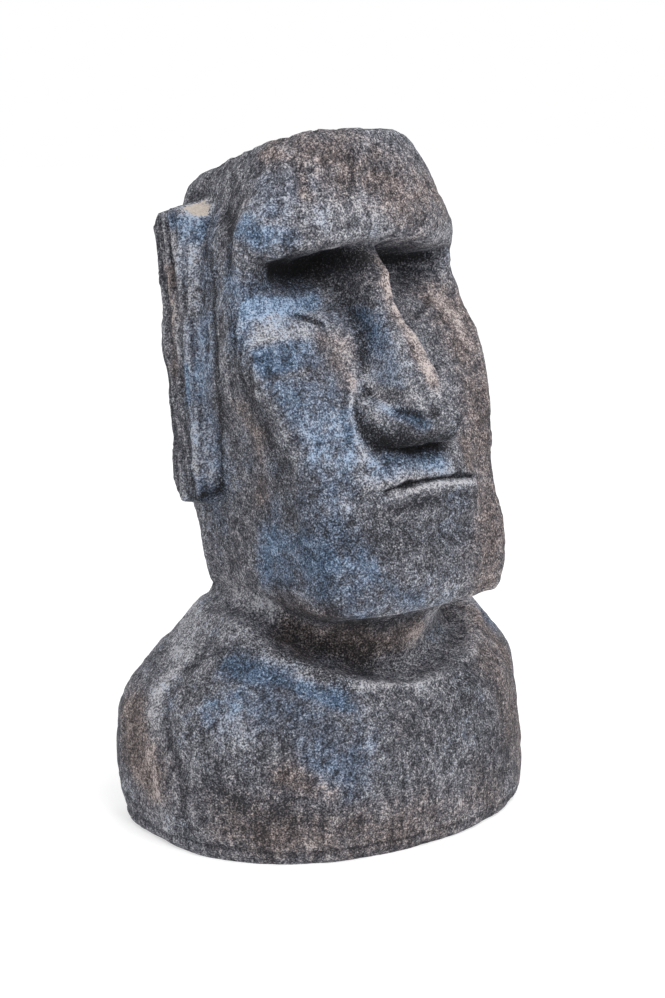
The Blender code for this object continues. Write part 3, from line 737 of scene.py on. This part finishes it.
def relief(points, levels, turns, settings):
    """Displacement of the skin in millimetres: the sum of slow and finger sized unevenness, grain,
    air pits, brushed streaks, the ears' weathered grooves and the carved marks."""
    here = points + noise(points, WARP_CELL, 11)[..., None] * WARP_SHARES
    swell = noise(points, SWELL_CELL, 1) * settings.swell_mm
    large, small = LUMP_CELLS
    lumps = settings.lump_mm * (noise(here, large, 2) + 0.6 * noise(here, small, 3))
    grain = settings.grain_mm * noise(here, GRAIN_CELL, 4)
    pits = -settings.pit_mm * ramp(noise(here, PIT_CELL, 5), *PIT_RANGE)
    streak = settings.streak_mm * noise(here, STREAK_CELL, 6)
    streaked = streaked_parts(levels)
    long, short = EAR_CELLS
    ears = settings.ear_mm * on_ears(points, levels)
    along_ear = np.stack([points[..., 0], -points[..., 1] - ear_middle(levels), levels], axis=-1)
    ears = ears * (noise(along_ear, long, 7) + 0.5 * noise(along_ear, short, 8))
    streak = streak * (STREAKS_ELSEWHERE + (1 - STREAKS_ELSEWHERE) * streaked)
    total = swell + lumps + grain + pits + streak + ears
    return total + carved_marks(points, levels, turns)


def streaked_parts(levels):
    """1 on the forehead and less low on the bust, where brush strokes show, 0 elsewhere."""
    low = STREAKS_LOW * (1 - ramp(levels, *STREAKS_BUST))
    return np.maximum(ramp(levels, *STREAKS_BROW), low)


def statue_surface(settings):
    """Grid points in metres, the smooth skin in shares, the relief in millimetres, the levels.

    The smooth skin is placed as the solid is, then moved along its normals by the relief.
    """
    levels = grid_levels()
    turns = grid_turns(levels[:-1])
    levels = np.broadcast_to(levels[:-1, None], turns.shape)
    points = skin(turns, levels)
    points[0, :, 2] = 0.0
    place, scale = placing(points)
    mm_in_shares = 0.001 / scale
    moved = relief(points, levels, turns, settings) * mm_in_shares
    moved = moved * ramp(points[..., 2], *FOOT_FADE) * (1 - ramp(levels, *CROWN_FADE))
    finished = points + normals(points) * moved[..., None]
    finished[..., 2] = np.maximum(finished[..., 2], 0.0)
    finished[0, :, 2] = 0.0
    over = np.maximum(finished[..., 2] - points[..., 2].max(), 0.0)
    finished[..., 2] -= over
    return (finished + place) * scale, points, moved / mm_in_shares, levels


def placing(points):
    """Shift and scale that put a skin where the solid stands: box middle at 0, full height."""
    crown = skin(np.zeros(1), np.array([CROWN_LEVEL]))[0]
    low, high = points.min(axis=(0, 1)), points.max(axis=(0, 1))
    tall = max(high[2], crown[2])
    place = np.array([-0.5 * (low[0] + high[0]), -0.5 * (low[1] + high[1]), 0.0])
    return place, STATUE_HEIGHT / tall


def closed_faces(rows, columns):
    """Corner numbers of the grid's quads and of the fans that close the crown and the underside."""
    r, c = np.meshgrid(np.arange(rows - 1), np.arange(columns), indexing="ij")
    n = (c + 1) % columns
    quads = np.stack([r * columns + c, r * columns + n, (r + 1) * columns + n, (r + 1) * columns + c], -1)
    c = np.arange(columns)
    n = (c + 1) % columns
    top, foot = rows * columns, rows * columns + 1
    last = (rows - 1) * columns
    crown = np.stack([last + c, last + n, np.full(columns, top)], -1)
    under = np.stack([n, c, np.full(columns, foot)], -1)
    return quads.reshape(-1, 4), np.concatenate([crown, under])


def mesh_from_grid(name, points, crown, foot):
    """Mesh of a grid that is closed round its columns, with a fan at each end."""
    rows, columns = points.shape[:2]
    quads, fans = closed_faces(rows, columns)
    coords = np.concatenate([points.reshape(-1, 3), [crown, foot]])
    corners = np.concatenate([quads.reshape(-1), fans.reshape(-1)])
    sizes = np.concatenate([np.full(len(quads), 4), np.full(len(fans), 3)])
    starts = np.concatenate([[0], np.cumsum(sizes)[:-1]])
    mesh = bpy.data.meshes.new(name)
    mesh.vertices.add(len(coords))
    mesh.vertices.foreach_set("co", coords.astype(np.float32).ravel())
    mesh.loops.add(len(corners))
    mesh.loops.foreach_set("vertex_index", corners.astype(np.int32))
    mesh.polygons.add(len(sizes))
    mesh.polygons.foreach_set("loop_start", starts.astype(np.int32))
    mesh.update(calc_edges=True)
    mesh.validate()
    mesh.shade_smooth()
    return mesh


def add_attribute(mesh, name, field, crown, foot):
    """Store one number for each vertex of a gridded mesh, with values for its two poles."""
    values = np.concatenate([field.ravel(), [crown, foot]]).astype(np.float32)
    mesh.attributes.new(name, "FLOAT", "POINT").data.foreach_set("value", values)


def finish_fields(smooth, moved, levels):
    """Numbers for the finish at each vertex.

    Raised is how far the relief stands above its surroundings, from -1 to 1; hollow is how deep
    the form itself is cut in; the finish uses both to paint shade into hollows.  The strokes are the
    places of painted shade with pigment, washes, and rubbed paint with painted highlights.
    """
    raised = np.clip((moved - blur(moved, RAISED_BLUR)) / RAISED_MM, -1.0, 1.0)
    hollow = ramp(hollowness(smooth, normals(smooth)), *HOLLOW_RANGE)
    turns, heights = grid_turns(levels[:, 0]), smooth[..., 2]
    sides = drawn_on(smooth, turns)
    line, on_mouth = mouth_line(smooth[..., 0])
    on_mouth = on_mouth * sides["front"][1]
    # Painted shade in the mouth's line, and a painted highlight on the lower lip's edge
    mouth_shade = MOUTH_SHADE * on_mouth * hump(levels, line + 0.1, LIP_STROKE)
    lip_highlight = LIP_HIGHLIGHT * on_mouth * hump(levels, line - LIP_EDGE, LIP_STROKE)
    return {
        "raised": raised,
        "hollow": hollow,
        # dark holds painted shade with pigment, and pale holds rubbed paint with painted highlights
        "dark": np.maximum(strokes(sides, heights, SHADE_AND_PIGMENT_STROKES), mouth_shade),
        "blue": strokes(sides, heights, BLUE_STROKES),
        "brown": strokes(sides, heights, BROWN_STROKES),
        "pale": np.maximum(strokes(sides, heights, PAINT_AND_HIGHLIGHT_STROKES), lip_highlight),
        "streaks": streaked_parts(levels),
    }


def hex_colour(code):
    """Linear RGBA from an sRGB hex code."""
    rgb = [int(code[n:n + 2], 16) / 255 for n in (1, 3, 5)]
    return [c / 12.92 if c <= 0.04045 else ((c + 0.055) / 1.055) ** 2.4 for c in rgb] + [1.0]


def add_node(tree, kind, settings=None, inputs=None, **links):
    """Add a shader node with its settings, socket values and incoming links.

    Settings are attributes of the node.  Inputs are values by socket name or number.  Links are
    given as socket=output, with spaces in the socket's name written as underscores.
    """
    node = tree.nodes.new(kind)
    for key, value in (settings or {}).items():
        setattr(node, key, value)
    for key, value in (inputs or {}).items():
        node.inputs[key].default_value = value
    for key, output in links.items():
        socket = int(key[1:]) if key[0] == "i" and key[1:].isdigit() else key.replace("_", " ")
        tree.links.new(output, node.inputs[socket])
    return node


def cast_stone(settings):
    """Cast stone, poured in a mould and washed: dark slate pigment in the low grain, painted shade with
    pigment in the hollows and along shaded planes, a thin blue and a thin brown wash in patches, and pale
    paint dry brushed over the raised grain, with painted highlights."""
    material = bpy.data.materials.new("cast_stone_washed")
    material.use_nodes = True
    tree = material.node_tree
    shader = tree.nodes["Principled BSDF"]
    place = add_node(tree, "ShaderNodeTexCoord").outputs["Object"]

    def attribute(name):
        return add_node(tree, "ShaderNodeAttribute", {"attribute_name": name}).outputs["Fac"]

    def grain(mm, detail, roughness=0.6, vector=place):
        """Noise about 0.5 whose coarsest grain has a size in millimetres."""
        node = add_node(
            tree, "ShaderNodeTexNoise", {"noise_dimensions": "3D"},
            {"Scale": 1000.0 / mm, "Detail": detail, "Roughness": roughness}, Vector=vector)
        return node.outputs["Fac"]

    def sum_of(base, *terms):
        """Base plus each output times its weight."""
        total = None
        for output, weight in terms:
            node = add_node(
                tree, "ShaderNodeMath", {"operation": "MULTIPLY_ADD"}, {1: weight, 2: base}, i0=output)
            if total is not None:
                tree.links.new(total, node.inputs[2])
            total = node.outputs[0]
        return total

    def product(first, second):
        node = add_node(tree, "ShaderNodeMath", {"operation": "MULTIPLY"}, None, i0=first, i1=second)
        return node.outputs[0]

    def between(output, low, high):
        """Smooth step of an output from 0 at low to 1 at high."""
        node = add_node(
            tree, "ShaderNodeMapRange", {"interpolation_type": "SMOOTHSTEP"},
            {"From Min": low, "From Max": high}, Value=output)
        return node.outputs["Result"]

    def mixed(share, first, second):
        """Blend of two colours; either may be a colour or another node's output.

        The node's colour sockets are numbers 6 and 7, and its colour output is number 2.
        """
        node = add_node(tree, "ShaderNodeMix", {"data_type": "RGBA"}, None, i0=share)
        for number, colour in ((6, first), (7, second)):
            if isinstance(colour, bpy.types.NodeSocket):
                tree.links.new(colour, node.inputs[number])
            else:
                node.inputs[number].default_value = colour
        return node.outputs[2]

    # Noise of four sizes, and one drawn out upright for the marks of the brush
    speck = grain(settings.speck_mm, 3.0, 0.65)
    crumb = grain(settings.crumb_mm, 3.0, 0.65)
    blotch = grain(settings.blotch_mm, 3.0)
    cloud = grain(settings.cloud_mm, 2.0)
    upright = {"Scale": (1.0, 1.0, 0.10)}
    tall = add_node(tree, "ShaderNodeMapping", {"vector_type": "POINT"}, upright, Vector=place)
    brushed = grain(settings.brush_mm, 3.0, 0.6, tall.outputs["Vector"])
    streaked = product(sum_of(-0.5, (brushed, 1.0)), sum_of(0.35, (attribute("streaks"), 0.65)))
    ragged = sum_of(-0.5, (crumb, 0.5), (blotch, 0.5))
    dark, pale = attribute("dark"), attribute("pale")

    # How much dry brushed paint a spot takes: the raised grain takes it, the hollows don't; less paint in
    # the relief's and the form's hollows and under the dark strokes is also painted shade
    brush = sum_of(
        settings.paint_amount, (speck, 1.7), (crumb, 0.85), (blotch, 0.28), (cloud, 0.30),
        (streaked, 0.55), (attribute("raised"), 0.13), (pale, 0.26), (attribute("hollow"), -0.10),
        (dark, -0.22))

    # Pigment in the low grain, the body, and the paint on top, each tinted where a wash soaked in
    blue = between(sum_of(-0.42, (attribute("blue"), 1.0), (ragged, 2.2), (cloud, 0.90)), 0.08, 1.0)
    brown = between(sum_of(0.54, (attribute("brown"), 1.0), (ragged, 2.0), (cloud, -0.90)), 0.08, 1.0)
    layers = []
    for plain, blued, browned in (
            (settings.pigment, settings.pigment_blue, settings.pigment_brown),
            (settings.body, settings.body_blue, settings.body_brown),
            (settings.paint, settings.paint_blue, settings.paint_brown)):
        layers.append(mixed(brown, mixed(blue, plain, blued), browned))
    pigment, body, paint = layers
    painted = mixed(between(brush, *settings.paint_range), body, paint)
    inked = mixed(between(brush, *settings.pigment_range), painted, pigment)

    # Paint rubbed through to bare stone, also as painted highlights where the pale strokes are strongest,
    # and painted shade with pigment lying thick in the deepest places
    rubbed = between(sum_of(0.0, (pale, 1.0), (ragged, 2.2)), 1.2, 1.5)
    inked = mixed(rubbed, inked, settings.rubbed)
    depth = sum_of(0.76, (dark, 1.0), (attribute("hollow"), 0.22), (ragged, 0.8), (speck, -2.6))
    colour = mixed(between(depth, -0.45, 0.75), inked, settings.deep)
    tree.links.new(colour, shader.inputs["Base Color"])

    height = sum_of(0.0, (speck, 0.45), (crumb, 0.8), (streaked, 0.8))
    rough = {"Strength": 1.0, "Distance": settings.bump_mm / 1000.0}
    bump = add_node(tree, "ShaderNodeBump", None, rough, Height=height)
    tree.links.new(bump.outputs["Normal"], shader.inputs["Normal"])
    shader.inputs["Roughness"].default_value = 0.85
    shader.inputs["Metallic"].default_value = 0.0
    shader.inputs["IOR"].default_value = 1.5
    shader.inputs["Specular IOR Level"].default_value = 0.3
    return material


def studio_paper():
    """Seamless studio paper, matt white, lit enough by itself that only a faint shadow shows."""
    material = bpy.data.materials.new("studio_paper")
    material.use_nodes = True
    shader = material.node_tree.nodes["Principled BSDF"]
    shader.inputs["Base Color"].default_value = (PAPER_GREY, PAPER_GREY, PAPER_GREY, 1.0)
    shader.inputs["Roughness"].default_value = 1.0
    shader.inputs["Specular IOR Level"].default_value = 0.0
    shader.inputs["Emission Color"].default_value = (1.0, 1.0, 1.0, 1.0)
    shader.inputs["Emission Strength"].default_value = PAPER_GLOW
    return material


def millimetres(name, description, default):
    """Property for a small length of the finish, in millimetres."""
    return bpy.props.FloatProperty(
        name=name, description=description + ", in millimetres", default=default, min=0.0)


def colour_of(name, description, code):
    """Colour property, given as an sRGB hex code."""
    return bpy.props.FloatVectorProperty(
        name=name, description=description, subtype="COLOR", size=4, min=0.0, max=1.0,
        default=hex_colour(code))


def range_of(name, description, low, high):
    """Property for the two ends of a smooth step."""
    return bpy.props.FloatVectorProperty(name=name, description=description, size=2, default=(low, high))


def angle(name, description, degrees):
    """Property for an angle, given in degrees."""
    return bpy.props.FloatProperty(
        name=name, description=description, default=np.radians(degrees), subtype="ANGLE")


class StatueSettings(bpy.types.PropertyGroup):
    """Relief and colours of the statue's skin."""

    swell_mm: millimetres("Swell", "Slow unevenness of the casting", 0.9)
    lump_mm: millimetres("Lumps", "Finger sized lumps and hollows", 0.8)
    grain_mm: millimetres("Grain", "Coarse grain of the mix", 0.40)
    pit_mm: millimetres("Pits", "Depth of the air pits", 0.8)
    streak_mm: millimetres("Streaks", "Depth of the brushed streaks", 0.5)
    ear_mm: millimetres("Ear grooves", "Depth of the weathered grooves on the ears", 1.7)
    speck_mm: millimetres("Speckle", "Size of the dry brushed speckle", 1.4)
    crumb_mm: millimetres("Crumb", "Size of the coarser speckle", 3.22)
    blotch_mm: millimetres("Blotches", "Size of the small patches", 11.0)
    cloud_mm: millimetres("Clouds", "Size of the large patches", 45.0)
    brush_mm: millimetres("Brush", "Width of the upright brush marks", 4.0)
    bump_mm: millimetres("Bump", "Height of the finest grain", 3.0)
    body: colour_of("Body", "Slate wash", "#56575F")
    body_blue: colour_of("Body, blue", "Slate wash under the blue wash", "#43566E")
    body_brown: colour_of("Body, brown", "Slate wash under the brown wash", "#5F5656")
    paint: colour_of("Paint", "Dry brushed paint on the grain", "#B6B6BB")
    paint_blue: colour_of("Paint, blue", "Dry brushed paint over the blue wash", "#93A8C2")
    paint_brown: colour_of("Paint, brown", "Dry brushed paint over the brown wash", "#BBAFAB")
    pigment: colour_of("Pigment", "Pigment in the low grain", "#26272D")
    pigment_blue: colour_of("Pigment, blue", "Pigment under the blue wash", "#1C2733")
    pigment_brown: colour_of("Pigment, brown", "Pigment under the brown wash", "#2D2829")
    # Rubbed colours bare stone at chips and also the painted highlights where the pale strokes are
    # strongest
    rubbed: colour_of("Rubbed", "Stone rubbed bare at a chip", "#B3A9A0")
    # Deep pigment is painted shade with pigment under the brow, in the mouth and nose and in the form's
    # hollows
    deep: colour_of("Deep pigment", "Pigment in the deepest hollows", "#0A0A0D")
    paint_amount: bpy.props.FloatProperty(
        name="Paint amount", description="Raises or lowers the share of dry brushed paint", default=-1.075)
    paint_range: range_of("Paint", "Where the dry brushed paint starts and is full", 0.50, 0.94)
    pigment_range: range_of("Pigment", "Where the low grain's pigment starts and is full", 0.50, 0.28)


class StageSettings(bpy.types.PropertyGroup):
    """Floor, light and camera."""

    azimuth: angle("Azimuth", "Camera angle round the statue", -38.0)
    elevation: angle("Elevation", "Camera angle above the floor", 12.5)
    floor_width: bpy.props.FloatProperty(
        name="Floor width", description="Side of the square floor", default=16.0, unit="LENGTH")
    sky: bpy.props.FloatProperty(
        name="Room light", description="Strength of the even white light all round", default=1.0, min=0.0)
    key_watts: bpy.props.FloatProperty(
        name="Key light", description="Power of the large soft light, in watts", default=27.0, min=0.0)


class MOAI_OT_statue(bpy.types.Operator):
    """Build the statue's skin in place of the plain solid"""

    bl_idname = "moai.statue"
    bl_label = "Build Statue"

    def execute(self, context):
        settings = context.scene.moai_statue
        points, smooth, moved, levels = statue_surface(settings)
        place, scale = placing(smooth)
        crown = (skin(np.zeros(1), np.array([CROWN_LEVEL]))[0] + place) * scale
        crown[2] = min(crown[2], STATUE_HEIGHT)
        mesh = mesh_from_grid("moai_skin", points, crown, np.zeros(3))
        for name, field in finish_fields(smooth, moved, levels).items():
            add_attribute(mesh, name, field, field[-1].mean(), field[0].mean())
        mesh.materials.append(cast_stone(settings))
        statue = place_object(context, "moai_skin", mesh)
        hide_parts(NODE)
        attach(statue, "root")
        return {"FINISHED"}


def place_object(context, name, data):
    """Add an object with this data to the scene."""
    new = bpy.data.objects.new(name, data)
    context.scene.collection.objects.link(new)
    return new


def camera_axes(azimuth, elevation):
    """Unit vectors right, up and back of a camera at an azimuth and elevation round the statue."""
    level = np.cos(elevation)
    back = Vector((np.sin(azimuth) * level, -np.cos(azimuth) * level, np.sin(elevation)))
    right = Vector((np.cos(azimuth), np.sin(azimuth), 0.0))
    return right, back.cross(right), back


def soft_light(context, name, place, target, width, watts):
    """Square area light at a place, facing a target."""
    light = bpy.data.lights.new(name, "AREA")
    light.shape = "SQUARE"
    light.size = width
    light.energy = watts
    lamp = place_object(context, name, light)
    lamp.location = place
    lamp.rotation_euler = (target - place).to_track_quat("-Z", "Y").to_euler()


def white_floor(context, width):
    """Square of studio paper on the ground, not part of the statue."""
    half = width / 2
    corners = [(-half, -half, 0.0), (half, -half, 0.0), (half, half, 0.0), (-half, half, 0.0)]
    mesh = bpy.data.meshes.new("studio_floor")
    mesh.from_pydata(corners, [], [(0, 1, 2, 3)])
    mesh.materials.append(studio_paper())
    place_object(context, "studio_floor", mesh)


def photo_camera(context, target, axes, distance):
    """Camera with the photograph's field of view, looking at the target along its back axis."""
    lens = bpy.data.cameras.new("photo_camera")
    lens.sensor_fit = "VERTICAL"
    lens.sensor_height = SENSOR_MM
    lens.lens = FOCAL_PIXELS * SENSOR_MM / PHOTO_HEIGHT
    camera = place_object(context, "photo_camera", lens)
    turned = Matrix(axes).transposed().to_quaternion()
    camera.matrix_world = Matrix.LocRotScale(target + axes[2] * distance, turned, None)
    context.scene.camera = camera


class MOAI_OT_stage(bpy.types.Operator):
    """Set the white floor, the soft light and the camera"""

    bl_idname = "moai.stage"
    bl_label = "Set Stage"

    def execute(self, context):
        settings = context.scene.moai_stage
        white_floor(context, settings.floor_width)
        levels = grid_levels()[:-1]
        turns = grid_turns(levels)
        place, scale = placing(skin(turns, np.broadcast_to(levels[:, None], turns.shape)))
        target = Vector((np.array(CAMERA_TARGET) + place) * scale)
        axes = camera_axes(settings.azimuth, settings.elevation)
        photo_camera(context, target, axes, CAMERA_DISTANCE * scale)
        right, _, back = axes
        key = target + back * KEY_BACK + right * KEY_RIGHT + Vector((0.0, 0.0, KEY_UP))
        soft_light(context, "key_light", key, target, KEY_WIDTH, settings.key_watts)
        world = bpy.data.worlds.new("white_room")
        world.use_nodes = True
        room = world.node_tree.nodes["Background"]
        room.inputs["Color"].default_value = (1.0, 1.0, 1.0, 1.0)
        room.inputs["Strength"].default_value = settings.sky
        context.scene.world = world
        context.scene.view_settings.view_transform = "Standard"
        return {"FINISHED"}


class MOAI_PT_panel(bpy.types.Panel):
    """Lists the statue's settings and its two builders"""

    bl_idname = "MOAI_PT_panel"
    bl_label = "Garden Moai"
    bl_space_type = "VIEW_3D"
    bl_region_type = "UI"
    bl_category = "Moai"

    def draw(self, context):
        scene = context.scene
        for settings, operator in ((scene.moai_statue, "moai.statue"), (scene.moai_stage, "moai.stage")):
            box = self.layout.box()
            for name in type(settings).__annotations__:
                box.prop(settings, name)
            box.operator(operator)


CLASSES = (StatueSettings, StageSettings, MOAI_OT_statue, MOAI_OT_stage, MOAI_PT_panel)


def register():
    for kind in CLASSES:
        bpy.utils.register_class(kind)
    bpy.types.Scene.moai_statue = bpy.props.PointerProperty(type=StatueSettings)
    bpy.types.Scene.moai_stage = bpy.props.PointerProperty(type=StageSettings)


def unregister():
    del bpy.types.Scene.moai_stage
    del bpy.types.Scene.moai_statue
    for kind in reversed(CLASSES):
        bpy.utils.unregister_class(kind)


def main():
    """Build the statue and its stage."""
    register()
    bpy.ops.moai.statue()
    bpy.ops.moai.stage()


if __name__ == "__main__":
    main()
